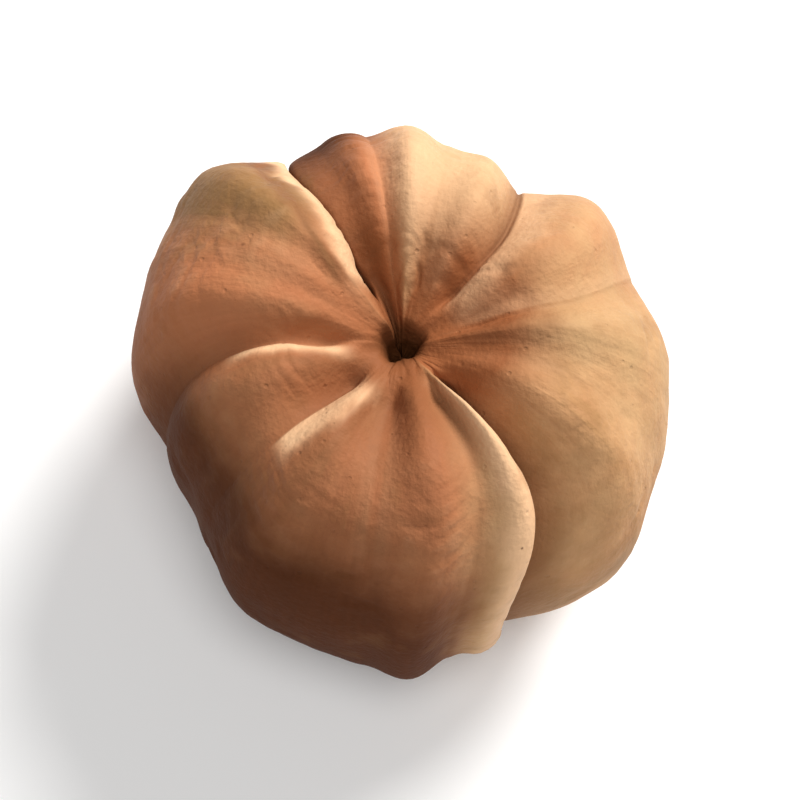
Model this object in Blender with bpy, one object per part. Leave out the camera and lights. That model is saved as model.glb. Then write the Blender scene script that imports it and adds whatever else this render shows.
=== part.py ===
"""A dried putka pod: a small ribbed seed pod, like a tiny pumpkin, about 20 mm across.

The husk grew as one piece, so it is one closed body. A sphere's points are moved by a rule: an
oblate body with a dimple at each end, parted into uneven lobes by grooves that curve into the
crown. The pod stands level on the low points of its lobes. +Z is the pod's axis, crown up, and the
origin is on the surface it stands on, under the middle of its outline.
"""

from collections import namedtuple
from math import pi, radians

import bmesh
import bpy
import numpy as np

# Driving dimensions, in metres
WIDTH = 0.0202
HEIGHT = 0.0150
CROWN_DIMPLE_DEPTH = 0.0030
CROWN_DIMPLE_RADIUS = 0.0038
CENTRE_HOLE_DEPTH = 0.0015
CENTRE_HOLE_RADIUS = 0.00060
BASE_DIMPLE_DEPTH = 0.0018
BASE_DIMPLE_RADIUS = 0.0030
BASE_FLAT_DEPTH = 0.00022

# How far a full groove cuts in, as a share of the distance to the pod's middle
GROOVE_AT_CROWN = 0.20
GROOVE_AT_EQUATOR = 0.115
GROOVE_AT_BASE = 0.075

# Angles from the crown, in radians, between which the grooves pass from one form to the next
CURVE_SPAN = (radians(12), radians(95))
CROWN_SPAN = (radians(40), radians(88))
BASE_SPAN = (radians(95), radians(140))
PUCKER_SPAN = (radians(14), radians(42))
FADE_SPAN_AT_CROWN = (radians(4), radians(13))
FADE_SPAN_AT_BASE = (0.0, radians(20))

# Where a groove bows most, as an angle from the crown, and how far on either side it still does
BOW_MIDDLE = radians(54)
BOW_REACH = radians(22)

# Roundness of a lobe beside a sharp crease, and beside a soft furrow
CREASE_ROUNDNESS = 0.60
FURROW_ROUNDNESS = 2.0

# How slowly a lobe's reach and lift pass into its neighbours': above 1, they blend without a kink
BLEND_SLOWNESS = 1.5

# How full the body is at its shoulder and its flank, and the level from which all of a lobe's
# lift counts
SHOULDER_FULLNESS = 0.86
FLANK_FULLNESS = 0.80
LIFTED_LEVEL = 0.7

# How fine the mesh is, and how much closer its rows lie near the two ends
COLUMNS_PER_LOBE = 8
ROWS = 46
ROW_CROWDING = 0.72

HUSK_COLOUR = (0.42, 0.235, 0.125, 1.0)
HUSK_ROUGHNESS = 0.55
CREASE_ANGLE = radians(50)

# One lobe, counter-clockwise from the groove that it starts at:
#   flank    azimuth of that groove round the pod's flank, in degrees
#   crown    azimuth of the same groove where it enters the crown dimple, in degrees
#   bow      how far that groove bows round the pod between the two, in degrees
#   cut      depth of that groove, 1 being a full one
#   pucker   the same where the groove enters the crown dimple
#   reach    how far the lobe stands out, 1 being half the width
#   lift     how much higher than the mean its shoulder rises, as a share of the height
#   lean     1 is even; less than 1 crowds the lobe against the groove that it starts at
#   sharp    1 where that groove is a sharp crease, 0 where it is a soft furrow
Lobe = namedtuple("Lobe", "flank crown bow cut pucker reach lift lean sharp")
LOBES = (
    Lobe(-67, -48, 6, cut=1.00, pucker=0.80, reach=1.07, lift=0.00, lean=1.45, sharp=0.9),
    Lobe(-18, -12, 0, cut=0.20, pucker=0.10, reach=1.02, lift=0.01, lean=1.00, sharp=0.0),
    Lobe(24, 7, 0, cut=0.42, pucker=0.20, reach=1.03, lift=-0.01, lean=1.00, sharp=0.1),
    Lobe(61, 44, 0, cut=0.84, pucker=0.40, reach=0.93, lift=0.01, lean=1.10, sharp=0.3),
    Lobe(80, 75, 0, cut=0.24, pucker=0.15, reach=1.01, lift=0.00, lean=1.00, sharp=0.0),
    Lobe(99, 97, 0, cut=0.20, pucker=0.12, reach=1.02, lift=-0.05, lean=0.55, sharp=0.1),
    Lobe(116, 118, 3, cut=1.00, pucker=0.90, reach=1.12, lift=0.03, lean=1.00, sharp=1.0),
    Lobe(155, 152, 0, cut=0.14, pucker=0.00, reach=1.04, lift=0.02, lean=0.95, sharp=0.0),
    Lobe(193, 184, -2, cut=0.56, pucker=0.40, reach=0.92, lift=0.00, lean=0.80, sharp=0.1),
    Lobe(217, 222, 0, cut=0.38, pucker=0.70, reach=1.04, lift=0.00, lean=0.85, sharp=0.0),
    Lobe(262, 262, 0, cut=0.14, pucker=0.55, reach=1.10, lift=0.01, lean=1.00, sharp=0.0),
    Lobe(280, 300, -1, cut=0.36, pucker=0.45, reach=1.03, lift=0.01, lean=1.10, sharp=0.1),
)


def smooth_step(value, span):
    """Rise smoothly from 0 at the span's start to 1 at its end."""
    share = np.clip((value - span[0]) / (span[1] - span[0]), 0.0, 1.0)
    return share * share * (3.0 - 2.0 * share)


def mix(start, end, share):
    """The value that lies a share of the way from start to end."""
    return start + (end - start) * share


def lobe_values(name):
    """One field of every lobe, with the first lobe repeated a turn later."""
    values = np.array([getattr(lobe, name) for lobe in LOBES], float)
    turn = 360.0 if name in ("flank", "crown") else 0.0
    return np.append(values, values[0] + turn)


def azimuth(lobe, across, polar):
    """Azimuth in radians of a point that is part of the way across a lobe."""
    crown, flank, bow = lobe_values("crown"), lobe_values("flank"), lobe_values("bow")
    share = smooth_step(polar, CURVE_SPAN)
    bowed = np.exp(-((polar - BOW_MIDDLE) / BOW_REACH) ** 2)
    start = mix(crown[lobe], flank[lobe], share) + bow[lobe] * bowed
    end = mix(crown[lobe + 1], flank[lobe + 1], share) + bow[lobe + 1] * bowed
    return np.radians(mix(start, end, across))


def blend_round(name, lobe, across):
    """A lobe's own value at its middle, passing smoothly into its neighbours' at its grooves."""
    values = lobe_values(name)[:-1]
    here, before, after = values[lobe], values[lobe - 1], values[(lobe + 1) % len(LOBES)]
    edge = 0.5 * (here + np.where(across < 0.5, before, after))
    return mix(edge, here, np.sin(pi * across) ** BLEND_SLOWNESS)


def between_grooves(name, lobe, across):
    """A value that passes smoothly from a lobe's first groove to its second."""
    values = lobe_values(name)
    return mix(values[lobe], values[lobe + 1], smooth_step(across, (0.0, 1.0)))


def groove_depth(lobe, across, polar):
    """How far the surface sinks towards the pod's middle at a point, as a share."""
    roundness = mix(FURROW_ROUNDNESS, CREASE_ROUNDNESS, between_grooves("sharp", lobe, across))
    crest = np.sin(pi * across ** lobe_values("lean")[lobe]).clip(0.0) ** roundness
    depth = mix(GROOVE_AT_CROWN, GROOVE_AT_EQUATOR, smooth_step(polar, CROWN_SPAN))
    depth = mix(depth, GROOVE_AT_BASE, smooth_step(polar, BASE_SPAN))
    pucker, cut = between_grooves("pucker", lobe, across), between_grooves("cut", lobe, across)
    cut = mix(pucker, cut, smooth_step(polar, PUCKER_SPAN))
    fade = smooth_step(polar, FADE_SPAN_AT_CROWN) * smooth_step(pi - polar, FADE_SPAN_AT_BASE)
    return cut * depth * fade * (1.0 - crest)


def dimple(out, depth, radius):
    """How far the surface sinks in a round dimple at a distance from the axis."""
    return depth * np.exp(-(out / radius) ** 2)


def pod_point(lobe, across, polar):
    """The place of one surface point, in metres, with the pod's middle at the origin."""
    angle = azimuth(lobe, across, polar)
    level = np.cos(polar)
    out = 0.5 * WIDTH * blend_round("reach", lobe, across) * np.sin(polar) ** FLANK_FULLNESS
    up = 0.5 * HEIGHT * np.sign(level) * np.abs(level) ** SHOULDER_FULLNESS
    up = up + HEIGHT * blend_round("lift", lobe, across) * smooth_step(level, (0.0, LIFTED_LEVEL))
    kept = 1.0 - groove_depth(lobe, across, polar)
    out, up = out * kept, up * kept
    crown = dimple(out, CROWN_DIMPLE_DEPTH, CROWN_DIMPLE_RADIUS)
    crown = crown + dimple(out, CENTRE_HOLE_DEPTH, CENTRE_HOLE_RADIUS)
    base = dimple(out, BASE_DIMPLE_DEPTH, BASE_DIMPLE_RADIUS)
    up = up + np.where(level > 0.0, -crown, base)
    return out * np.cos(angle), out * np.sin(angle), up


def stand_on_surface(points):
    """Bring the pod to its size, flatten the lobes' low points, and set it on them, centred."""
    low, high = points.min(axis=0), points.max(axis=0)
    points -= 0.5 * (low + high)
    points[:, :2] *= WIDTH / (high[0] - low[0])
    points[:, 2] *= (HEIGHT + BASE_FLAT_DEPTH) / (high[2] - low[2])
    surface = points[:, 2].min() + BASE_FLAT_DEPTH
    points[:, 2] = np.maximum(points[:, 2], surface) - surface
    return points


def make_pod(collection, material):
    """The husk, from a sphere whose meridians are shared out evenly among the lobes."""
    columns = COLUMNS_PER_LOBE * len(LOBES)
    shape = bmesh.new()
    bmesh.ops.create_uvsphere(shape, u_segments=columns, v_segments=ROWS, radius=1.0)
    places = np.array([vertex.co for vertex in shape.verts])
    level = np.arccos(np.clip(places[:, 2], -1.0, 1.0))
    polar = level - 0.5 * ROW_CROWDING * np.sin(2.0 * level)
    turn = np.arctan2(places[:, 1], places[:, 0]) / (2.0 * pi) % 1.0
    column = np.rint(turn * columns).astype(int) % columns
    lobe, step = np.divmod(column, COLUMNS_PER_LOBE)
    points = np.stack(pod_point(lobe, step / COLUMNS_PER_LOBE, polar), axis=1)
    for vertex, point in zip(shape.verts, stand_on_surface(points)):
        vertex.co = point
    bmesh.ops.triangulate(shape, faces=shape.faces)
    bmesh.ops.recalc_face_normals(shape, faces=shape.faces)
    mesh = bpy.data.meshes.new("pod")
    shape.to_mesh(mesh)
    shape.free()
    mesh.materials.append(material)
    mesh.shade_smooth()
    mesh.set_sharp_from_angle(angle=CREASE_ANGLE)
    pod = bpy.data.objects.new("pod", mesh)
    collection.objects.link(pod)
    return pod


def make_husk_material():
    """Dry tan husk with a faint satin shine."""
    material = bpy.data.materials.new("husk")
    material.use_nodes = True
    shader = material.node_tree.nodes["Principled BSDF"]
    shader.inputs["Base Color"].default_value = HUSK_COLOUR
    shader.inputs["Roughness"].default_value = HUSK_ROUGHNESS
    shader.inputs["Metallic"].default_value = 0.0
    return material


def main():
    for thing in list(bpy.data.objects):
        bpy.data.objects.remove(thing, do_unlink=True)
    collection = bpy.data.collections.new("putka_pod")
    bpy.context.scene.collection.children.link(collection)
    make_pod(collection, make_husk_material())


main()
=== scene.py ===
"""The looks of a dried putka pod: a small ribbed seed pod, like a tiny pumpkin.

The husk is swept by Geometry Nodes over a ring of stations, one for each fine column of its
surface. A station says where its column runs, how far across its lobe it lies, and how that lobe
bulges, folds over its neighbour and is coloured. A second tree dries the husk, with wrinkles,
dents, pocks and the torn fibres of the stalk scar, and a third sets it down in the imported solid's
box. The shader reads what the trees leave on the mesh.

Lengths are in metres. +Z is the pod's axis, crown up, and +Y is away from the camera.
"""

from collections import namedtuple
from math import cos, pi, radians, sin

import bpy
import numpy as np
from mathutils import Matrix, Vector


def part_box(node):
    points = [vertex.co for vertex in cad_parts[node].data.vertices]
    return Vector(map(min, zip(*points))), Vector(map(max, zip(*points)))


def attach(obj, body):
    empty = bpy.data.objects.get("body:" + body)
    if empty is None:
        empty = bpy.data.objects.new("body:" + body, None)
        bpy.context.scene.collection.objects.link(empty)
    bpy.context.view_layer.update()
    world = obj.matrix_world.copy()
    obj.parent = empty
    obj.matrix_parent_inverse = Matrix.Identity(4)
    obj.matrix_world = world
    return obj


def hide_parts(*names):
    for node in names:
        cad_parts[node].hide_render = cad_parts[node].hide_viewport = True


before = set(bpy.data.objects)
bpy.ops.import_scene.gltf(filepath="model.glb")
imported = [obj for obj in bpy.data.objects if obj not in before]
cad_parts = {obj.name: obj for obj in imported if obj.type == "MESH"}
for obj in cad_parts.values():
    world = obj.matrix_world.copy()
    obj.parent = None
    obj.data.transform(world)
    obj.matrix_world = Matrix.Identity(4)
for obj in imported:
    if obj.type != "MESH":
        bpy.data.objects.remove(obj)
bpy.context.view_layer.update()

POD_LOW, POD_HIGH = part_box("pod")
POD_SIZE = POD_HIGH - POD_LOW
MM = 0.001

# The form that the pod grew to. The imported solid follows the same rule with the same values, but
# it has no clefts, its lobes don't fold over one another, and its hole is less steep.
FORM = {
    "Width": 0.0202,
    "Height": 0.0150,
    "Crown Dimple Depth": 0.0030,
    "Crown Dimple Radius": 0.0038,
    "Hole Depth": 0.0015,
    "Hole Radius": 0.00060,
    "Base Dimple Depth": 0.0018,
    "Base Dimple Radius": 0.0030,
    "Groove at Crown": 0.20,
    "Groove at Equator": 0.115,
    "Groove at Base": 0.075,
    "Cleft Depth": 0.035,
    "Shoulder Fullness": 0.86,
    "Flank Fullness": 0.80,
}

# Angles between which the grooves and folds pass from one form to the next: from the crown, or,
# where the name ends in at base, from the base
CURVE_SPAN = (radians(12), radians(95))
CROWN_SPAN = (radians(40), radians(88))
BASE_SPAN = (radians(95), radians(140))
PUCKER_SPAN = (radians(14), radians(42))
FADE_SPAN_AT_CROWN = (radians(4), radians(13))
FADE_SPAN_AT_BASE = (0.0, radians(20))
FOLD_SPAN_AT_CROWN = (radians(5), radians(18))
FOLD_SPAN_AT_BASE = (radians(20), radians(75))
CLEFT_SPAN_AT_BASE = (radians(12), radians(40))
LIP_SPAN_AT_CROWN = (radians(6), radians(13))
# Angles from the crown between which the painted shade comes in towards the flank
PAINTED_SHADE_SPAN = (radians(28), radians(95))

# Where a groove bows most, as an angle from the crown, and how far on either side it still does
BOW_BELL = (radians(54), radians(22))

# The level from which all of a lobe's lift counts
LIFTED_LEVEL = 0.7

# Roundness of a lobe beside a sharp crease, and beside a soft furrow
CREASE_ROUNDNESS = 0.60
FURROW_ROUNDNESS = 2.0

# How slowly a lobe's values pass into its neighbours': above 1, they blend without a kink
BLEND_SLOWNESS = 1.5

# How steep the wall of the hole is, and the waves round its rim: how high they are as a share of
# its radius, how many they are, and where they start
HOLE_STEEPNESS = 4.0
HOLE_WAVES = ((0.14, 2.0, 0.7), (0.08, 5.0, 0.0))

# How fine the husk is, and how much closer its columns lie at the grooves and its rows at the ends
COLUMNS = 480
ROWS = 194
COLUMN_CROWDING = 0.62
ROW_CROWDING = 0.42
CROWN_CROWDING = 0.72
CROWN_CROWDING_SPAN = radians(11)

# Where a fold, its pale lip and the cleft beneath it lie, in millimetres from the groove
FOLD_RISE = (0.05, 0.35)
FOLD_FALL = (0.45, 1.3)
FOLD_TUCK = (0.0, 1.4)
LIP_RISE = (0.03, 0.30)
CLEFT_WIDTH = 0.13

# How far a fold is tucked back at its groove, and how wide a lobe is, in millimetres, where a fold
# begins to find room and where it has all of it
TUCKED_SHARE = 0.6
FOLD_ROOM = (0.4, 1.8)

# Shares of a lobe's width between which the fold and the lip of one groove give way to the other's
EDGE_FALL = (0.5, 1.0)

# Shares of a lip's width between which it fades, and where the skin is bruised along its inner side
LIP_FALL = (0.45, 1.2)
BRUISE_BELL = (1.45, 0.32)

# How much a lip's width wavers, and over what length in millimetres; from which share of its length
# it wears out; and how strong it is on either side of a groove that nothing folds over
LIP_WOBBLE = 0.45
LIP_WOBBLE_SIZE = 2.0
LIP_WORN_FROM = 0.75
LIP_UNFOLDED = 0.4

# How the husk dried: heights in metres, and sizes across one swell, dent, rib or wrinkle
DRYING = {
    "Swell Height": 0.00022,
    "Swell Size": 0.0052,
    "Dent Depth": 0.00016,
    "Dent Size": 0.0021,
    "Rib Height": 0.00007,
    "Rib Width": 0.0011,
    "Wrinkle Depth": 0.00007,
    "Wrinkle Size": 0.0010,
    "Crumple Depth": 0.00015,
    "Crumple Size": 0.0017,
    "Bruise Depth": 0.00006,
    "Crown Rib Height": 0.00006,
    "Pock Depth": 0.00006,
    "Pock Size": 0.0034,
    "Skin Height": 0.000018,
    "Skin Size": 0.00042,
}
BASE_FLAT_DEPTH = 0.00022
SEED = 7

# How open the skin is in a groove: the groove's strength between which it closes, and by how much
CLOSED_GROOVE = (0.30, 0.85)
CLOSED_SHARE = 0.95

# Levels of a noise between which each kind of relief comes in
DENT_LEVELS = (0.10, 0.55)
RIB_PATCH_LEVELS = (-0.25, 0.3)
WRINKLE_LEVELS = (0.0, 0.16)
WRINKLE_PATCH_LEVELS = (0.0, 0.4)
BRUISE_LEVELS = (-0.2, 0.3)

# How far crumpling brings on the dents and the crumples: the least share of the dents, the level of
# a noise from which an uncrumpled and a fully crumpled skin crumple, and the level of full crumples
LEAST_DENTED = 0.2
CRUMPLE_FROM = (0.20, -0.25)
CRUMPLE_TO = 0.45

# How far the crumples wander as a share of their size, and how steep their ridges are
CRUMPLE_BEND = 0.8
RIDGE_STEEPNESS = 2.2

# The least share of the ribs' height, between their patches, and how ragged the pocks' edges are
LEAST_RIBBED = 0.4
POCK_RAGGEDNESS = 0.05

# How each kind of relief is stretched: along the grain, across it, or slanting over the pod
RIB_STRETCH = (1.0, 1.0, 0.16)
WRINKLE_STRETCH = (0.30, 0.30, 1.0)
CRUMPLE_STRETCH = (1.0, 0.7, 0.6)
SPOKE_STRETCH = (0.55, 0.55, 0.35)

# Distances from the axis, in millimetres, between which each kind of relief comes in or fades
RIB_SPAN = (4.5, 8.0)
CRUMPLE_SPAN = (2.0, 4.5)
BRUISE_SPAN = (1.5, 3.0)
CROWN_RIB_RISE = (0.8, 2.0)
CROWN_RIB_FALL = (3.5, 7.0)
CROWN_END = (0.2, 0.8)
BASE_END = (1.5, 3.5)

# The stalk scar beneath: a torn ring and the hollow in it, as heights and distances in millimetres
SCAR_RING = (0.12, 0.95, 0.22)
SCAR_HOLLOW = (0.35, 0.6)
SCAR_TORN = (0.4, 1.0)

# One lobe, counter-clockwise from the groove that it starts at:
#   flank    azimuth of that groove round the pod's flank, in degrees
#   crown    azimuth of the same groove where it enters the crown dimple, in degrees
#   bow      how far that groove bows round the pod between the two, in degrees
#   cut      depth of that groove, 1 being a full one
#   pucker   the same where the groove enters the crown dimple
#   reach    how far the lobe stands out, 1 being half the width
#   lift     how much higher than the mean its shoulder rises, as a share of the height
#   lean     1 is even; less than 1 crowds the lobe against the groove that it starts at
#   sharp    1 where that groove is a sharp crease, 0 where it is a soft furrow
#   fold     millimetres by which the lobe folds over the one before; below 0, that one folds over it
Lobe = namedtuple("Lobe", "flank crown bow cut pucker reach lift lean sharp fold")
LOBES = (
    Lobe(-67, -48, 6, cut=1.00, pucker=0.80, reach=1.07, lift=0.00, lean=1.45, sharp=0.9, fold=-0.40),
    Lobe(-18, -12, 0, cut=0.20, pucker=0.10, reach=1.02, lift=0.01, lean=1.00, sharp=0.0, fold=0.0),
    Lobe(24, 7, 0, cut=0.42, pucker=0.20, reach=1.03, lift=-0.01, lean=1.00, sharp=0.1, fold=0.1),
    Lobe(61, 44, 0, cut=0.84, pucker=0.40, reach=0.93, lift=0.01, lean=1.10, sharp=0.3, fold=-0.1),
    Lobe(80, 75, 0, cut=0.24, pucker=0.15, reach=1.01, lift=0.00, lean=1.00, sharp=0.0, fold=0.0),
    Lobe(99, 97, 0, cut=0.20, pucker=0.12, reach=1.02, lift=-0.05, lean=0.55, sharp=0.1, fold=0.0),
    Lobe(116, 118, 3, cut=1.00, pucker=0.90, reach=1.12, lift=0.03, lean=1.00, sharp=1.0, fold=0.45),
    Lobe(155, 152, 0, cut=0.14, pucker=0.00, reach=1.04, lift=0.02, lean=0.95, sharp=0.0, fold=0.0),
    Lobe(193, 184, -2, cut=0.56, pucker=0.40, reach=0.92, lift=0.00, lean=0.80, sharp=0.1, fold=0.12),
    Lobe(217, 222, 0, cut=0.38, pucker=0.70, reach=1.04, lift=0.00, lean=0.85, sharp=0.0, fold=0.12),
    Lobe(262, 262, 0, cut=0.14, pucker=0.55, reach=1.10, lift=0.01, lean=1.00, sharp=0.0, fold=0.0),
    Lobe(280, 300, -1, cut=0.36, pucker=0.45, reach=1.03, lift=0.01, lean=1.10, sharp=0.1, fold=0.0),
)

# How the skin of each of those lobes is coloured, which light and shade is painted on it, and how it
# dried:
#   warmth   0 is a straw-coloured lobe and 1 a terracotta one
#   pale     how much it has bleached to cream, partly as a painted highlight; below 0, how much painted shade darkens it
#   rust  how rusty it is beside the crown hole, with painted shade in the dimple there
#   dusk  how much painted shade darkens it towards the flank
#   lip      how pale and worn the folded edge at its first groove is, partly as a painted highlight
#   wide     width of that lip, in millimetres
#   worn_to  degrees from the crown where that lip fades out
#   olive    how much it has faded to olive, in patches
#   crumple  how much it dented and wrinkled as it dried, 1 being the most
Skin = namedtuple("Skin", "warmth pale rust dusk lip wide worn_to olive crumple")
SKINS = (
    Skin(0.42, 0.00, 1.50, 0.05, lip=1.3, wide=1.4, worn_to=130, olive=0.5, crumple=0.3),
    Skin(0.28, -0.12, 1.60, 0.00, lip=0.1, wide=1.0, worn_to=90, olive=0.4, crumple=0.4),
    Skin(0.45, 0.00, 2.00, 0.00, lip=0.3, wide=1.0, worn_to=90, olive=0.1, crumple=0.5),
    Skin(0.20, 0.50, 1.50, 0.00, lip=0.7, wide=1.3, worn_to=90, olive=-0.3, crumple=0.4),
    Skin(0.40, 0.75, 0.45, 0.00, lip=0.5, wide=1.4, worn_to=90, olive=-0.5, crumple=0.2),
    Skin(1.40, -0.38, 1.80, 1.30, lip=0.0, wide=1.0, worn_to=90, olive=0.1, crumple=0.3),
    Skin(0.72, -0.05, 0.15, 0.22, lip=1.5, wide=0.95, worn_to=130, olive=0.95, crumple=1.0),
    Skin(0.92, 0.00, 0.35, 0.45, lip=0.1, wide=0.8, worn_to=60, olive=0.0, crumple=0.5),
    Skin(0.80, -0.18, 0.40, 1.20, lip=1.3, wide=0.75, worn_to=46, olive=0.3, crumple=0.5),
    Skin(0.85, -0.24, 0.40, 1.28, lip=1.4, wide=1.3, worn_to=42, olive=0.3, crumple=0.5),
    Skin(0.85, -0.20, 0.90, 0.90, lip=0.2, wide=0.8, worn_to=60, olive=0.1, crumple=0.4),
    Skin(0.28, 0.00, 0.50, 0.20, lip=0.0, wide=1.0, worn_to=90, olive=0.5, crumple=0.3),
)
BLENDED = ("reach", "lift", "warmth", "pale", "rust", "dusk", "olive", "crumple")

# Colours of the dry husk, and of the shade and highlight painted on it, as linear red, green and blue
STRAW = (0.585, 0.360, 0.175, 1.0)
TERRACOTTA = (0.43, 0.160, 0.070, 1.0)
# Rust at the crown, also used for painted shade in the crown dimple
CROWN_RUST_AND_SHADE = (0.32, 0.110, 0.042, 1.0)
# Cream of bleached skin and worn lips, partly a painted highlight there
LIP_CREAM = (0.73, 0.45, 0.255, 1.0)
# Painted shade in the grooves
GROOVE_SHADE_BROWN = (0.16, 0.060, 0.026, 1.0)
# Painted shade that darkens the lobes towards the flank
PAINTED_SHADE_BROWN = (0.115, 0.035, 0.012, 1.0)
# Painted shade in the crown hole
HOLE_SHADE_BROWN = (0.085, 0.028, 0.009, 1.0)
BRUISE_BROWN = (0.26, 0.115, 0.048, 1.0)
SPECK_BROWN = (0.12, 0.050, 0.026, 1.0)
FADED_OLIVE = (0.29, 0.160, 0.062, 1.0)
SCAR_BROWN = (0.17, 0.085, 0.040, 1.0)

# How fully each layer of colour covers what lies beneath it
COVER = {
    "olive": 0.85, "groove": 0.75, "lip": 0.85, "worn": 0.16, "bruise": 0.70, "stain": 0.32,
    "dark speck": 0.75, "pale speck": 0.50, "painted_rim_shade": 0.70, "scar": 0.80,
}

# Distances from the axis, in millimetres, between which the colours come in or fade
STREAK_TURN = (3.0, 7.0)
CREAM_SPAN = (1.8, 5.0)
OLIVE_SPAN = (4.0, 6.5)
# The rust spans also carry painted shade in the crown dimple and close round the hole
RUST_SPAN = (1.5, 7.0)
CROWN_RUST_SPAN = (0.7, 2.0)
STREAK_SPAN = (0.5, 6.0)
STAIN_SPAN = (2.5, 5.0)
# Painted shade round the edge of the crown hole
RIM_SPAN = (0.6, 1.2)
SCAR_SPAN = (0.9, 1.7)

# How much the patches, the fibres and the grain of the skin lighten or darken it
PATCH_SHADE = 0.20
STREAK_SHADE = 0.18
SKIN_SHADE = 0.08

# Roughness and shine of the husk, and the depth in metres of the relief that only its shading shows
HUSK_ROUGHNESS = 0.54
HUSK_SHINE = 0.05
BUMP_DEPTH = 0.00009

# How strong the light from all round is, and where the camera stands and looks
AIR_STRENGTH = 0.17
CAMERA_ELEVATION = radians(70)
CAMERA_DISTANCE = 0.150
CAMERA_LENS = 180.0
CAMERA_TARGET = (0.0, 0.0, 0.0075)


# Arithmetic in node trees

class Term:
    """The output of a node. Each sign between two terms adds a Math node, so a rule reads as one."""

    def __init__(self, tree, output):
        self.tree = tree
        self.output = output

    def __add__(self, other):
        return reckon("ADD", self, other)

    def __radd__(self, other):
        return reckon("ADD", other, self)

    def __sub__(self, other):
        return reckon("SUBTRACT", self, other)

    def __rsub__(self, other):
        return reckon("SUBTRACT", other, self)

    def __mul__(self, other):
        return reckon("MULTIPLY", self, other)

    def __rmul__(self, other):
        return reckon("MULTIPLY", other, self)

    def __truediv__(self, other):
        return reckon("DIVIDE", self, other)

    def __rtruediv__(self, other):
        return reckon("DIVIDE", other, self)

    def __pow__(self, other):
        return reckon("POWER", self, other)

    def __neg__(self):
        return reckon("MULTIPLY", self, -1.0)


def feed(socket, value):
    """Link a term to a socket, or set a plain value on it."""
    if isinstance(value, Term):
        value.tree.links.new(value.output, socket)
    else:
        socket.default_value = value


def reckon(operation, *terms):
    """A Math node on terms and plain numbers."""
    tree = next(term.tree for term in terms if isinstance(term, Term))
    node = tree.nodes.new("ShaderNodeMath")
    node.operation = operation
    for socket, term in zip(node.inputs, terms):
        feed(socket, term)
    return Term(tree, node.outputs[0])


def reckon_vector(operation, *vectors, scale=None):
    """A Vector Math node on vector terms and plain vectors."""
    tree = next(vector.tree for vector in vectors if isinstance(vector, Term))
    node = tree.nodes.new("ShaderNodeVectorMath")
    node.operation = operation
    for socket, vector in zip(node.inputs, vectors):
        feed(socket, vector)
    if scale is not None:
        feed(node.inputs["Scale"], scale)
    return Term(tree, node.outputs["Vector"])


def stretched(place, stretch):
    """A place multiplied axis by axis, which draws a noise out along the axes with small shares."""
    return reckon_vector("MULTIPLY", place, stretch)


def add_node(tree, kind, options, inputs, output=0):
    """Add a node with its options and inputs, and give one of its outputs as a term."""
    node = tree.nodes.new(kind)
    for name, value in options.items():
        setattr(node, name, value)
    for name, value in inputs.items():
        feed(node.inputs[name], value)
    return Term(tree, node.outputs[output])


def between(start, end, share):
    """The value that lies a share of the way from start to end."""
    return start + (end - start) * share


def rise(value, start, end):
    """Rise smoothly from 0 where the value is start to 1 where it is end."""
    inputs = {"Value": value, "From Min": start, "From Max": end}
    return add_node(value.tree, "ShaderNodeMapRange", {"interpolation_type": "SMOOTHSTEP"}, inputs)


def bell(value, middle, width):
    """1 where the value is at the middle, falling to 0 on both sides."""
    return reckon("EXPONENT", -(((value - middle) / width) ** 2.0))


def combine(x, y, z):
    """A vector from three terms."""
    return add_node(x.tree, "ShaderNodeCombineXYZ", {}, {"X": x, "Y": y, "Z": z})


def noise(place, scale, detail, seed):
    """Soft noise between about -1 and 1 at a place that is multiplied by a scale."""
    inputs = {
        "Vector": reckon_vector("SCALE", place, scale=scale),
        "W": float(seed),
        "Scale": 1.0,
        "Detail": float(detail),
        "Roughness": 0.5,
    }
    return add_node(place.tree, "ShaderNodeTexNoise", {"noise_dimensions": "4D"}, inputs) * 2.0 - 1.0


def noises(place, scale):
    """Three soft noises as one vector, each between about -0.5 and 0.5."""
    inputs = {"Vector": reckon_vector("SCALE", place, scale=scale), "Scale": 1.0, "Detail": 1.0}
    drift = add_node(place.tree, "ShaderNodeTexNoise", {}, inputs, "Color")
    return reckon_vector("SUBTRACT", drift, (0.5, 0.5, 0.5))


def spots(place, scale, seed, share, size):
    """A mask of scattered round spots: a share of the cells has one, of a size up to a cell."""
    moved = reckon_vector("ADD", reckon_vector("SCALE", place, scale=scale), (seed, 0.0, -seed))
    inputs = {"Vector": moved, "Scale": 1.0, "Randomness": 1.0}
    near = add_node(place.tree, "ShaderNodeTexVoronoi", {}, inputs, "Distance")
    cell = near.output.node.outputs["Color"]
    chance = add_node(place.tree, "ShaderNodeSeparateXYZ", {}, {"Vector": Term(place.tree, cell)})
    chosen = reckon("LESS_THAN", chance, share)
    return chosen * (1.0 - rise(near, size * 0.3, size))


# The ring of stations

def smooth_step(value, span):
    """Rise smoothly from 0 at the span's start to 1 at its end."""
    share = np.clip((value - span[0]) / (span[1] - span[0]), 0.0, 1.0)
    return share * share * (3.0 - 2.0 * share)


def lobe_values(name):
    """One field of every lobe, with the first lobe repeated a turn later."""
    table = LOBES if name in Lobe._fields else SKINS
    values = np.array([getattr(row, name) for row in table], float)
    turn = 360.0 if name in ("flank", "crown") else 0.0
    return np.append(values, values[0] + turn)


def blend_round(name, lobe, across):
    """A lobe's own value at its middle, passing smoothly into its neighbours' at its grooves."""
    values = lobe_values(name)[:-1]
    here, before, after = values[lobe], values[lobe - 1], values[(lobe + 1) % len(LOBES)]
    edge = 0.5 * (here + np.where(across < 0.5, before, after))
    return between(edge, here, np.sin(pi * across) ** BLEND_SLOWNESS)


def between_grooves(name, lobe, across):
    """A value that passes smoothly from a lobe's first groove to its second."""
    values = lobe_values(name)
    return between(values[lobe], values[lobe + 1], smooth_step(across, (0.0, 1.0)))


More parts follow.
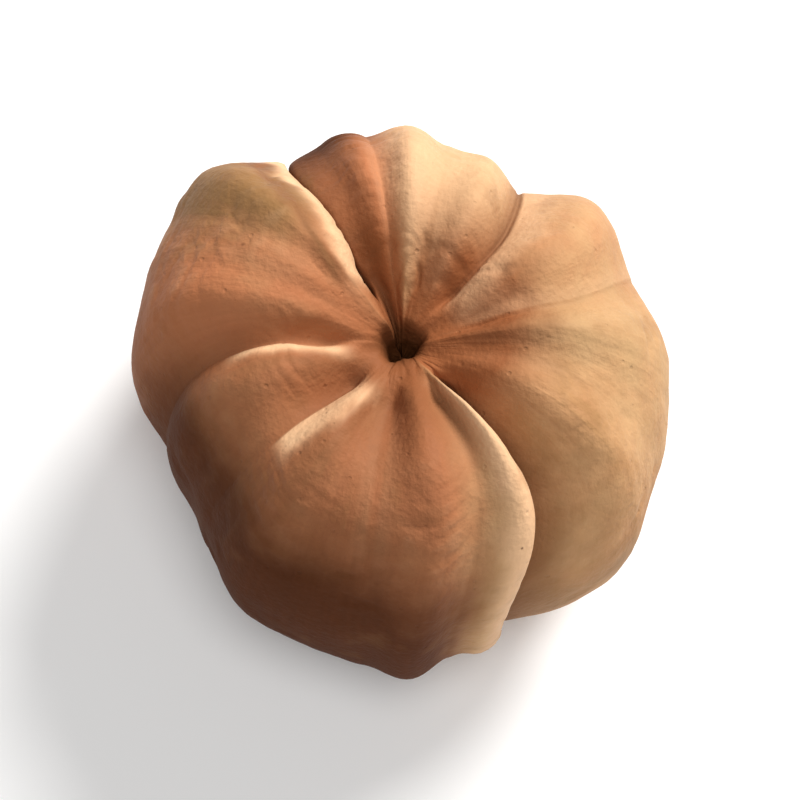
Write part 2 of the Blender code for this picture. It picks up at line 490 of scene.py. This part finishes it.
def place_stations():
    """The lobe that each fine column is on, and how far across it the column lies."""
    widths = np.diff(lobe_values("flank"))
    counts = np.rint(COLUMNS * widths / 360.0).astype(int)
    lobe = np.repeat(np.arange(len(LOBES)), counts)
    step = np.concatenate([np.arange(count) / count for count in counts])
    return lobe, step - COLUMN_CROWDING * np.sin(2.0 * pi * step) / (2.0 * pi)


def edge_values(lobe):
    """The fold and the lip at a lobe's two grooves; a lip stands on the side that folds over."""
    fold, lip = lobe_values("fold"), lobe_values("lip")
    wide, worn_to = lobe_values("wide"), lobe_values("worn_to")
    rooms = {}
    for name in ("crown", "flank"):
        widths = np.radians(np.diff(lobe_values(name)))
        rooms[name] = np.minimum(widths, np.roll(widths, 1))
        rooms[name] = np.append(rooms[name], rooms[name][0])
    values = {}
    for edge, groove, side in (("start", lobe, 1.0), ("end", lobe + 1, -1.0)):
        over = np.where(fold[groove] == 0.0, LIP_UNFOLDED, side * fold[groove] > 0.0)
        values[edge + " fold"] = fold[groove]
        values[edge + " lip"] = lip[groove] * over
        values[edge + " lip width"] = wide[groove]
        values[edge + " worn to"] = np.radians(worn_to[groove])
        values[edge + " crown room"] = rooms["crown"][groove]
        values[edge + " flank room"] = rooms["flank"][groove]
    return values


def station_values():
    """Everything that one fine column of the husk needs to know, as a row of each kind."""
    lobe, across = place_stations()
    crown, flank, bow = lobe_values("crown"), lobe_values("flank"), lobe_values("bow")
    cut, pucker, sharp = (between_grooves(name, lobe, across) for name in ("cut", "pucker", "sharp"))
    roundness = between(FURROW_ROUNDNESS, CREASE_ROUNDNESS, sharp)
    return {
        "across": across,
        "crown azimuth": np.radians(between(crown[lobe], crown[lobe + 1], across)),
        "flank azimuth": np.radians(between(flank[lobe], flank[lobe + 1], across)),
        "bow": np.radians(between(bow[lobe], bow[lobe + 1], across)),
        "crown width": np.radians(crown[lobe + 1] - crown[lobe]),
        "flank width": np.radians(flank[lobe + 1] - flank[lobe]),
        "cut": cut,
        "pucker": pucker,
        "sharp": sharp * cut,
        "crest": np.sin(pi * across ** lobe_values("lean")[lobe]).clip(0.0) ** roundness,
        **{name: blend_round(name, lobe, across) for name in BLENDED},
        **edge_values(lobe),
    }


def make_ring():
    """A loose ring of points that carries the stations' values to the tree that sweeps the husk."""
    values = station_values()
    turns = values["flank azimuth"]
    mesh = bpy.data.meshes.new("stations")
    mesh.from_pydata([(cos(turn), sin(turn), 0.0) for turn in turns], [], [])
    for name, row in values.items():
        mesh.attributes.new(name, "FLOAT", "POINT").data.foreach_set("value", row.astype(np.float32))
    ring = bpy.data.objects.new("stations", mesh)
    bpy.context.scene.collection.objects.link(ring)
    return ring


# Geometry Nodes

def start_tree(name, sizes):
    """A new tree with a mesh and a material going in and an input for each size."""
    tree = bpy.data.node_groups.new(name, "GeometryNodeTree")
    tree.interface.new_socket("Mesh", in_out="INPUT", socket_type="NodeSocketGeometry")
    for label, size in sizes.items():
        kind = "NodeSocketInt" if isinstance(size, int) else "NodeSocketFloat"
        tree.interface.new_socket(label, in_out="INPUT", socket_type=kind).default_value = size
    tree.interface.new_socket("Material", in_out="INPUT", socket_type="NodeSocketMaterial")
    tree.interface.new_socket("Mesh", in_out="OUTPUT", socket_type="NodeSocketGeometry")
    source = tree.nodes.new("NodeGroupInput")
    return tree, {socket.name: Term(tree, socket) for socket in source.outputs if socket.name}


def end_tree(tree, mesh, material):
    """End a tree as the export needs it: no instances left, and the material set."""
    mesh = add_node(tree, "GeometryNodeRealizeInstances", {}, {"Geometry": mesh})
    mesh = add_node(tree, "GeometryNodeSetMaterial", {}, {"Geometry": mesh, "Material": material})
    feed(tree.nodes.new("NodeGroupOutput").inputs["Mesh"], mesh)


def attribute(tree, name, kind="FLOAT"):
    """What an earlier step stored on the mesh under a name."""
    return add_node(tree, "GeometryNodeInputNamedAttribute", {"data_type": kind}, {"Name": name})


def store(mesh, name, value, kind="FLOAT"):
    """Store a value on the mesh's points for later steps and for the shaders."""
    inputs = {"Geometry": mesh, "Name": name, "Value": value}
    return add_node(mesh.tree, "GeometryNodeStoreNamedAttribute", {"data_type": kind}, inputs)


def run_tree(thing, tree, **values):
    """Add a tree to an object as a modifier, with values for its named inputs."""
    modifier = thing.modifiers.new(tree.name, "NODES")
    modifier.node_group = tree
    for socket in tree.interface.items_tree:
        if socket.in_out == "INPUT" and socket.name.replace(" ", "_") in values:
            modifier[socket.identifier] = values[socket.name.replace(" ", "_")]


def made_plain(thing, name):
    """The object's evaluated mesh as a new plain object, in place of the object."""
    graph = bpy.context.evaluated_depsgraph_get()
    mesh = bpy.data.meshes.new_from_object(
        thing.evaluated_get(graph), preserve_all_data_layers=True, depsgraph=graph)
    mesh.name = name
    mesh.shade_smooth()
    plain = bpy.data.objects.new(name, mesh)
    bpy.context.scene.collection.objects.link(plain)
    bpy.data.objects.remove(thing, do_unlink=True)
    return plain


def husk_form_tree():
    """Sweep the husk over the ring of stations, from the middle of the crown to that of the base."""
    tree, given = start_tree("husk form", {"Columns": COLUMNS, "Rows": ROWS, **FORM})
    sphere = add_node(tree, "GeometryNodeMeshUVSphere", {}, {
        "Segments": given["Columns"], "Rings": given["Rows"], "Radius": 1.0})
    step = add_node(tree, "GeometryNodeInputIndex", {}, {}) - 1.0
    row = reckon("FLOOR", step / given["Columns"]) + 1.0
    column = step - given["Columns"] * (row - 1.0)

    def station(name):
        inputs = {"Geometry": given["Mesh"], "Value": attribute(tree, name), "Index": column}
        return add_node(tree, "GeometryNodeSampleIndex", {"data_type": "FLOAT"}, inputs)

    turn = row * pi / given["Rows"]
    turn = turn * (1.0 - CROWN_CROWDING * reckon("EXPONENT", -(turn / CROWN_CROWDING_SPAN)))
    polar = turn - 0.5 * ROW_CROWDING * reckon("SINE", 2.0 * turn)
    from_base = pi - polar
    level = reckon("COSINE", polar)

    lift = station("lift") * rise(level, 0.0, LIFTED_LEVEL)
    shoulder = reckon("SIGN", level) * reckon("ABSOLUTE", level) ** given["Shoulder Fullness"]
    around = reckon("MAXIMUM", reckon("SINE", polar), 0.0) ** given["Flank Fullness"]
    out = 0.5 * given["Width"] * station("reach") * around
    up = given["Height"] * (0.5 * shoulder + lift)

    curve = rise(polar, *CURVE_SPAN)
    azimuth = between(station("crown azimuth"), station("flank azimuth"), curve)
    azimuth = azimuth + station("bow") * bell(polar, *BOW_BELL)
    lobe_width = between(station("crown width"), station("flank width"), curve) * out / MM
    meridian = station("flank azimuth")
    radius = 0.5 * given["Width"] / MM
    grain = combine(
        radius * reckon("COSINE", meridian), radius * reckon("SINE", meridian), radius * polar)
    wobble = 1.0 + LIP_WOBBLE * noise(grain, 1.0 / LIP_WOBBLE_SIZE, detail=2, seed=SEED + 12)
    shift, lip, bruise, cleft = 0.0, 0.0, 0.0, 0.0
    from_start = station("across")
    for edge, side, across in (("start", 1.0, from_start), ("end", -1.0, 1.0 - from_start)):
        away = across * lobe_width
        near = 1.0 - rise(across, *EDGE_FALL)
        over = reckon("GREATER_THAN", side * station(edge + " fold"), 0.0)
        crest = over * rise(away, *FOLD_RISE) * (1.0 - rise(away, *FOLD_FALL))
        tuck = TUCKED_SHARE * (1.0 - rise(away, *FOLD_TUCK))
        room = between(station(edge + " crown room"), station(edge + " flank room"), curve) * out / MM
        shift = shift + station(edge + " fold") * (tuck - crest) * near * rise(room, *FOLD_ROOM)
        worn_to = station(edge + " worn to")
        lasting = 1.0 - rise(polar, worn_to * LIP_WORN_FROM, worn_to)
        paleness = station(edge + " lip") * near * lasting
        inward = away * wobble / station(edge + " lip width")
        lip = lip + paleness * rise(away, *LIP_RISE) * (1.0 - rise(inward, *LIP_FALL))
        bruise = bruise + paleness * bell(inward, *BRUISE_BELL)
        cleft = cleft + bell(away, 0.0, CLEFT_WIDTH) * near
    lip = lip * rise(polar, *LIP_SPAN_AT_CROWN)
    folding = rise(polar, *FOLD_SPAN_AT_CROWN) * rise(from_base, *FOLD_SPAN_AT_BASE)
    azimuth = azimuth + shift * folding * MM / reckon("MAXIMUM", out, MM)

    fade = rise(polar, *FADE_SPAN_AT_CROWN) * rise(from_base, *FADE_SPAN_AT_BASE)
    depth = between(given["Groove at Crown"], given["Groove at Equator"], rise(polar, *CROWN_SPAN))
    depth = between(depth, given["Groove at Base"], rise(polar, *BASE_SPAN))
    cut = between(station("pucker"), station("cut"), rise(polar, *PUCKER_SPAN))
    groove = cut * fade * (1.0 - station("crest"))
    cleft = cleft * station("sharp") * fade * rise(polar, *FADE_SPAN_AT_CROWN)
    cleft = cleft * rise(from_base, *CLEFT_SPAN_AT_BASE)
    kept = 1.0 - groove * depth - cleft * given["Cleft Depth"]
    out, up = out * kept, up * kept

    ragged = 1.0
    for share, count, phase in HOLE_WAVES:
        ragged = ragged + share * reckon("SINE", azimuth * count + phase)
    hole = reckon("EXPONENT", -((out / (given["Hole Radius"] * ragged)) ** HOLE_STEEPNESS))
    crown = given["Crown Dimple Depth"] * bell(out, 0.0, given["Crown Dimple Radius"])
    base = given["Base Dimple Depth"] * bell(out, 0.0, given["Base Dimple Radius"])
    upper = reckon("GREATER_THAN", level, 0.0)
    up = up + between(base, -(crown + given["Hole Depth"] * hole), upper)

    place = combine(out * reckon("COSINE", azimuth), out * reckon("SINE", azimuth), up)
    mesh = add_node(tree, "GeometryNodeSetPosition", {}, {"Geometry": sphere, "Position": place})
    for name, value in (
        ("groove", reckon("MINIMUM", groove + cleft, 1.0)),
        ("from axis", out),
        ("upper", upper),
        ("hole", hole * upper),
        ("lip", lip),
        ("bruise", bruise * station("crumple") * rise(out / MM, *BRUISE_SPAN)),
        ("warmth", station("warmth")),
        ("pale", station("pale")),
        ("rust", station("rust")),
        ("olive", station("olive")),
        # painted shade, which comes in towards the flank
        ("dusk", station("dusk") * rise(polar, *PAINTED_SHADE_SPAN)),
        ("crumple", station("crumple")),
    ):
        mesh = store(mesh, name, value)
    mesh = store(mesh, "grain", grain, "FLOAT_VECTOR")
    end_tree(tree, mesh, given["Material"])
    return tree


def husk_drying_tree():
    """Shrink the smooth husk as it dries: swells, dents, ribs, wrinkles, pocks and a rough skin."""
    tree, given = start_tree("husk drying", DRYING)
    place = add_node(tree, "GeometryNodeInputPosition", {}, {})
    grain = attribute(tree, "grain", "FLOAT_VECTOR")
    out = attribute(tree, "from axis") / MM
    upper = attribute(tree, "upper")
    open_skin = 1.0 - CLOSED_SHARE * rise(attribute(tree, "groove"), *CLOSED_GROOVE)

    def at(name, share=1.0):
        """The scale at which a noise has a named size, or a share of that scale."""
        return share / given[name]

    swell = given["Swell Height"] * noise(place, at("Swell Size"), detail=1, seed=SEED)
    crumpled = attribute(tree, "crumple")
    dents = rise(noise(place, at("Dent Size"), detail=1, seed=SEED + 1), *DENT_LEVELS)
    dents = -given["Dent Depth"] * dents * between(LEAST_DENTED, 1.0, crumpled)

    along = stretched(grain, RIB_STRETCH)
    ribs = given["Rib Height"] * noise(along, MM / given["Rib Width"], detail=1, seed=SEED + 2)
    patch = rise(noise(place, at("Dent Size", 0.5), detail=0, seed=SEED + 3), *RIB_PATCH_LEVELS)
    ribs = ribs * rise(out, *RIB_SPAN) * between(LEAST_RIBBED, 1.0, patch)

    across = stretched(grain, WRINKLE_STRETCH)
    crinkle = noise(across, MM / given["Wrinkle Size"], detail=1, seed=SEED + 4)
    crinkle = 1.0 - rise(reckon("ABSOLUTE", crinkle), *WRINKLE_LEVELS)
    patch = rise(noise(place, at("Dent Size", 0.6), detail=0, seed=SEED + 5), *WRINKLE_PATCH_LEVELS)
    wrinkles = -given["Wrinkle Depth"] * crinkle * patch

    crumpled = crumpled * rise(out, *CRUMPLE_SPAN)
    patch = noise(place, at("Crumple Size", 0.4), detail=0, seed=SEED + 10)
    patch = rise(patch, between(*CRUMPLE_FROM, crumpled), CRUMPLE_TO)
    bent = CRUMPLE_BEND * given["Crumple Size"]
    bent = reckon_vector("SCALE", noises(place, at("Crumple Size")), scale=bent)
    slanted = stretched(reckon_vector("ADD", place, bent), CRUMPLE_STRETCH)
    ridge = reckon("ABSOLUTE", noise(slanted, at("Crumple Size"), detail=2, seed=SEED + 11))
    crumples = given["Crumple Depth"] * (0.5 - RIDGE_STEEPNESS * ridge) * patch * crumpled
    patch = rise(noise(place, at("Crumple Size", 1.5), detail=1, seed=SEED + 13), *BRUISE_LEVELS)
    crumples = crumples - given["Bruise Depth"] * attribute(tree, "bruise") * patch

    spokes = stretched(grain, SPOKE_STRETCH)
    puckered = rise(out, *CROWN_RIB_RISE) * (1.0 - rise(out, *CROWN_RIB_FALL))
    puckers = given["Crown Rib Height"] * noise(spokes, 1.0, detail=1, seed=SEED + 6) * puckered

    torn = POCK_RAGGEDNESS * given["Pock Size"]
    torn = reckon_vector("SCALE", noises(place, at("Pock Size", 8.0)), scale=torn)
    ragged = reckon_vector("ADD", place, torn)
    large_pocks = spots(ragged, at("Pock Size"), seed=SEED, share=0.10, size=0.12)
    small_pocks = spots(ragged, at("Pock Size", 2.2), seed=2, share=0.03, size=0.2)
    pocks = -given["Pock Depth"] * (large_pocks + 0.5 * small_pocks)
    skin = given["Skin Height"] * noise(place, at("Skin Size"), detail=2, seed=SEED + 8)

    height, radius, width = SCAR_RING
    depth, hollow_radius = SCAR_HOLLOW
    scar = height * MM * bell(out, radius, width) - depth * MM * bell(out, 0.0, hollow_radius)
    fibres = noise(spokes, 2.0, detail=1, seed=SEED + 9) * rise(out, *SCAR_TORN)
    scar = scar * (1.0 - upper) * (1.0 + fibres)

    ends = between(rise(out, *BASE_END), rise(out, *CROWN_END), upper)
    fine = (ribs + wrinkles + crumples + puckers + pocks + skin) * open_skin
    normal = add_node(tree, "GeometryNodeInputNormal", {}, {})
    outward = reckon_vector("NORMALIZE", place)
    offset = reckon_vector(
        "ADD",
        reckon_vector("SCALE", normal, scale=(dents * open_skin + fine) * ends),
        reckon_vector("SCALE", outward, scale=swell * ends + scar))
    mesh = add_node(tree, "GeometryNodeSetPosition", {}, {
        "Geometry": store(given["Mesh"], "relief", (fine + dents) / MM), "Offset": offset})
    end_tree(tree, mesh, given["Material"])
    return tree


def husk_standing_tree():
    """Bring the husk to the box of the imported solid, and stand it on the lobes' low points."""
    sizes = {"Low X": 0.0, "Low Y": 0.0, "Length X": 1.0, "Length Y": 1.0, "Length Z": 1.0}
    tree, given = start_tree("husk standing", {**sizes, "Base Flat Depth": BASE_FLAT_DEPTH})
    place = add_node(tree, "GeometryNodeInputPosition", {}, {})
    low = add_node(tree, "GeometryNodeBoundBox", {}, {"Geometry": given["Mesh"]}, "Min")
    high = Term(tree, low.output.node.outputs["Max"])
    length = reckon_vector("SUBTRACT", high, low)
    share = reckon_vector("DIVIDE", reckon_vector("SUBTRACT", place, low), length)
    share = {axis: add_node(tree, "ShaderNodeSeparateXYZ", {}, {"Vector": share}, axis) for axis in "XYZ"}
    flat = given["Base Flat Depth"]
    x = given["Low X"] + share["X"] * given["Length X"]
    y = given["Low Y"] + share["Y"] * given["Length Y"]
    z = reckon("MAXIMUM", share["Z"] * (given["Length Z"] + flat) - flat, 0.0)
    mesh = add_node(tree, "GeometryNodeSetPosition", {}, {
        "Geometry": given["Mesh"], "Position": combine(x, y, z)})
    end_tree(tree, mesh, given["Material"])
    return tree


def make_husk(material):
    """The pod's whole skin, as one closed mesh."""
    ring = make_ring()
    run_tree(ring, husk_form_tree(), Material=material, Columns=len(ring.data.vertices))
    run_tree(ring, husk_drying_tree(), Material=material)
    run_tree(ring, husk_standing_tree(), Material=material, Low_X=POD_LOW.x, Low_Y=POD_LOW.y,
             Length_X=POD_SIZE.x, Length_Y=POD_SIZE.y, Length_Z=POD_SIZE.z)
    return made_plain(ring, "pod_husk")


# Shaders

def start_group(name, inputs, outputs):
    """A new shader node group with a named socket for each input and output."""
    kinds = {float: "NodeSocketFloat", 3: "NodeSocketVector", 4: "NodeSocketColor"}
    tree = bpy.data.node_groups.new(name, "ShaderNodeTree")
    for label, value in inputs.items():
        kind = kinds[float] if isinstance(value, float) else kinds[len(value)]
        tree.interface.new_socket(label, in_out="INPUT", socket_type=kind).default_value = value
    for label in outputs:
        tree.interface.new_socket(label, in_out="OUTPUT", socket_type="NodeSocketFloat")
    source = tree.nodes.new("NodeGroupInput")
    return tree, {socket.name: Term(tree, socket) for socket in source.outputs if socket.name}


def end_group(tree, **results):
    """Put a group's results out."""
    sink = tree.nodes.new("NodeGroupOutput")
    for name, value in results.items():
        feed(sink.inputs[name], value)


def use_group(tree, group, inputs, output):
    """Place a group in a material, and give one of its outputs as a term."""
    node = tree.nodes.new("ShaderNodeGroup")
    node.node_tree = group
    for name, value in inputs.items():
        feed(node.inputs[name], value)
    return Term(tree, node.outputs[output])


def mottling_group():
    """Soft patches of lighter and darker colour, in two sizes."""
    tree, given = start_group("mottling", {"Place": (0.0, 0.0, 0.0), "Patch Size": 3.0}, ["Shade"])
    broad = noise(given["Place"], 1.0 / given["Patch Size"], detail=2, seed=11)
    small = noise(given["Place"], 4.0 / given["Patch Size"], detail=3, seed=12)
    end_group(tree, Shade=0.65 * broad + 0.35 * small)
    return tree


def streaks_group():
    """Fine fibres in the skin, drawn out along the third axis of the place."""
    tree, given = start_group("streaks", {"Place": (0.0, 0.0, 0.0), "Fibre Width": 0.3}, ["Streak"])
    drawn = stretched(given["Place"], (1.0, 1.0, 0.07))
    end_group(tree, Streak=noise(drawn, 1.0 / given["Fibre Width"], detail=3, seed=13))
    return tree


def dry_skin_group():
    """The finest relief of dry plant skin: a leathery grain with pores."""
    tree, given = start_group("dry skin", {"Place": (0.0, 0.0, 0.0), "Grain Size": 0.25}, ["Height"])
    grain = noise(given["Place"], 1.0 / given["Grain Size"], detail=4, seed=14)
    pores = spots(given["Place"], 0.8 / given["Grain Size"], seed=3.0, share=0.04, size=0.35)
    end_group(tree, Height=0.6 * grain - 0.5 * pores)
    return tree


def start_material(name):
    """A new material and its Principled shader."""
    material = bpy.data.materials.new(name)
    material.use_nodes = True
    return material, material.node_tree.nodes["Principled BSDF"]


def on_mesh(tree, name, output="Fac"):
    """What the Geometry Nodes stored on the mesh under a name."""
    return add_node(tree, "ShaderNodeAttribute", {"attribute_name": name}, {}, output)


def blend_colour(start, end, share):
    """A colour that lies a share of the way from start to end."""
    node = share.tree.nodes.new("ShaderNodeMix")
    node.data_type = "RGBA"
    feed(node.inputs["Factor"], share)
    feed(next(s for s in node.inputs if s.identifier == "A_Color"), start)
    feed(next(s for s in node.inputs if s.identifier == "B_Color"), end)
    return Term(share.tree, next(s for s in node.outputs if s.identifier == "Result_Color"))


def brighten(colour, factor):
    """A colour made lighter or darker by a factor."""
    return reckon_vector("SCALE", colour, scale=factor)


def add_bump(tree, shader, height, distance):
    """Feed a height, in units of a distance in metres, to the shader's normal."""
    inputs = {"Strength": 1.0, "Distance": distance, "Height": height}
    feed(shader.inputs["Normal"], add_node(tree, "ShaderNodeBump", {}, inputs))


def husk_material(groups):
    """Dry husk: straw to terracotta, rust with painted shade at the crown, painted shade in the grooves,
    the hole and towards the flank, and cream lips that are partly painted highlight.
    """
    material, shader = start_material("dry_husk")
    tree = material.node_tree
    place = add_node(tree, "ShaderNodeTexCoord", {}, {}, "Object")
    place = reckon_vector("SCALE", place, scale=1.0 / MM)
    grain = on_mesh(tree, "grain", "Vector")
    groove, upper, dusk, pale = (on_mesh(tree, name) for name in ("groove", "upper", "dusk", "pale"))
    beneath = 1.0 - upper
    out = on_mesh(tree, "from axis") / MM

    patches = use_group(tree, groups["mottling"], {"Place": place, "Patch Size": 3.2}, "Shade")
    blush = use_group(tree, groups["mottling"], {"Place": grain, "Patch Size": 6.0}, "Shade")
    crown_grain = stretched(grain, (0.30, 0.30, 1.0))
    streaks = between(
        use_group(tree, groups["streaks"], {"Place": crown_grain, "Fibre Width": 0.34}, "Streak"),
        use_group(tree, groups["streaks"], {"Place": grain, "Fibre Width": 0.28}, "Streak"),
        rise(out, *STREAK_TURN))
    skin = use_group(tree, groups["dry skin"], {"Place": place, "Grain Size": 0.24}, "Height")

    warmth = on_mesh(tree, "warmth") + 0.45 * blush + 0.30 * patches
    colour = blend_colour(STRAW, TERRACOTTA, rise(warmth, 0.0, 1.0))
    # Cream on the shoulders, partly bleached skin and partly a painted highlight
    cream = reckon("MAXIMUM", pale, 0.0) * rise(out, *CREAM_SPAN)
    colour = blend_colour(colour, LIP_CREAM, cream)
    faded = rise(blush + on_mesh(tree, "olive") + 0.2 * streaks, 0.25, 0.95)
    colour = blend_colour(colour, FADED_OLIVE, COVER["olive"] * faded * rise(out, *OLIVE_SPAN))
    # Rust beside the crown hole, partly the skin's own and partly painted shade on the dimple's walls,
    # with painted shadow close round the hole
    rust = on_mesh(tree, "rust") * (1.0 - rise(out + 1.2 * patches, *RUST_SPAN)) * upper
    rust = rust + 0.5 * (1.0 - rise(out, *CROWN_RUST_SPAN)) * upper
    colour = blend_colour(colour, CROWN_RUST_AND_SHADE, reckon("MINIMUM", rust, 1.0))
    # Painted shade: the lobes grow darker towards the flank, most of all the shaded ones
    painted_shade_share = rise(dusk * (1.0 + 0.5 * blush) + 0.25 * patches, 0.05, 0.8)
    colour = blend_colour(colour, PAINTED_SHADE_BROWN, painted_shade_share)
    # Painted shade in the grooves
    colour = blend_colour(colour, GROOVE_SHADE_BROWN, COVER["groove"] * rise(groove, 0.25, 1.0))

    # Pale worn lips, partly a painted highlight along their lit edges
    lip = on_mesh(tree, "lip") * (1.0 + 0.5 * patches)
    colour = blend_colour(colour, LIP_CREAM, COVER["lip"] * lip * (1.0 - rise(groove, 0.75, 1.0)))
    worn = rise(on_mesh(tree, "relief"), 0.005, 0.06) * (1.0 - 0.8 * rise(dusk, 0.1, 0.6))
    colour = blend_colour(colour, LIP_CREAM, COVER["worn"] * worn)
    bruised = on_mesh(tree, "bruise") * rise(patches + 0.5 * streaks, -0.35, 0.2)
    colour = blend_colour(colour, BRUISE_BROWN, COVER["bruise"] * bruised)
    stains = rise(noise(place, 0.5, detail=5, seed=15), 0.10, 0.45) * rise(out, *STAIN_SPAN)
    colour = blend_colour(colour, BRUISE_BROWN, COVER["stain"] * stains)

    streaks = streaks * rise(out, *STREAK_SPAN) * rise(patches, -0.5, 0.4)
    # Painted shade on the lobes whose pale lies below 0, kept off the lips
    painted_lobe_shade = reckon("MINIMUM", pale, 0.0) * (1.0 - rise(lip, 0.2, 0.9))
    shade = PATCH_SHADE * patches + STREAK_SHADE * streaks + SKIN_SHADE * skin + painted_lobe_shade
    colour = brighten(colour, 1.0 + shade)
    large_specks = spots(place, 0.7, seed=5.0, share=0.03, size=0.10)
    small_specks = spots(place, 1.6, seed=4.0, share=0.015, size=0.14)
    pale_specks = spots(place, 0.5, seed=9.0, share=0.05, size=0.06)
    colour = blend_colour(colour, SPECK_BROWN, COVER["dark speck"] * (large_specks + small_specks))
    colour = blend_colour(colour, LIP_CREAM, COVER["pale speck"] * pale_specks)

    # Painted shade in the crown hole and round its edge
    painted_rim_shade = COVER["painted_rim_shade"] * (1.0 - rise(out * (1.0 + 0.35 * blush), *RIM_SPAN)) * upper
    painted_hole_shade = reckon("MAXIMUM", rise(on_mesh(tree, "hole"), 0.08, 0.75), painted_rim_shade)
    colour = blend_colour(colour, HOLE_SHADE_BROWN, painted_hole_shade)
    colour = blend_colour(colour, SCAR_BROWN, COVER["scar"] * (1.0 - rise(out, *SCAR_SPAN)) * beneath)
    feed(shader.inputs["Base Color"], colour)

    shaded = rise(groove, 0.3, 1.0) + rise(dusk, 0.1, 0.8)
    roughness = HUSK_ROUGHNESS + 0.10 * patches - 0.05 * lip + 0.14 * shaded
    feed(shader.inputs["Roughness"], roughness)
    add_bump(tree, shader, 0.55 * skin + 0.22 * streaks, BUMP_DEPTH)
    shader.inputs["Specular IOR Level"].default_value = HUSK_SHINE
    return material


# The stage

def make_floor():
    """A plain pale floor, which isn't part of the pod."""
    material, shader = start_material("pale_floor")
    for name, value in (
        ("Base Color", (0.90, 0.90, 0.90, 1.0)),
        ("Emission Color", (1.0, 1.0, 1.0, 1.0)),
        ("Emission Strength", 0.12),
        ("Roughness", 0.85),
        ("Specular IOR Level", 0.2),
    ):
        shader.inputs[name].default_value = value
    bpy.ops.mesh.primitive_plane_add(size=6.0, location=(0.0, 0.0, 0.0))
    floor = bpy.context.object
    floor.name = "floor"
    floor.data.materials.append(material)


def aim(thing, target):
    """Turn a camera or a light to look at a point."""
    thing.rotation_euler = (Vector(target) - thing.location).to_track_quat("-Z", "Y").to_euler()


def add_far_light(name, direction, strength, softness, colour):
    """A soft light from far away, which lights the pod and the whole floor alike."""
    data = bpy.data.lights.new(name, "SUN")
    data.energy = strength
    data.angle = radians(softness)
    data.color = colour
    light = bpy.data.objects.new(name, data)
    light.location = direction
    aim(light, (0.0, 0.0, 0.0))
    bpy.context.scene.collection.objects.link(light)


def add_lights():
    """A large soft light from the upper right of the picture, a weak one above, and pale air."""
    add_far_light("key_light", (0.49, 0.62, 0.61), strength=4.2, softness=27, colour=(1.0, 0.985, 0.96))
    add_far_light("top_light", (0.07, -0.24, 0.97), strength=1.35, softness=30, colour=(1.0, 0.99, 0.98))
    world = bpy.data.worlds.new("pale_air")
    world.use_nodes = True
    air = world.node_tree.nodes["Background"]
    air.inputs["Color"].default_value = (1.0, 1.0, 1.0, 1.0)
    air.inputs["Strength"].default_value = AIR_STRENGTH
    bpy.context.scene.world = world


def add_camera():
    """A long lens that looks steeply down at the crown."""
    data = bpy.data.cameras.new("camera")
    data.lens = CAMERA_LENS
    data.sensor_width = 36.0
    data.clip_start = 0.001
    camera = bpy.data.objects.new("camera", data)
    back = Vector((0.0, -cos(CAMERA_ELEVATION), sin(CAMERA_ELEVATION)))
    camera.location = Vector(CAMERA_TARGET) + CAMERA_DISTANCE * back
    aim(camera, CAMERA_TARGET)
    bpy.context.scene.collection.objects.link(camera)
    bpy.context.scene.camera = camera
    bpy.context.scene.view_settings.view_transform = "Standard"


def main():
    groups = {
        "mottling": mottling_group(),
        "streaks": streaks_group(),
        "dry skin": dry_skin_group(),
    }
    husk = make_husk(husk_material(groups))
    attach(husk, "root")
    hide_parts("pod")
    make_floor()
    add_lights()
    add_camera()


main()
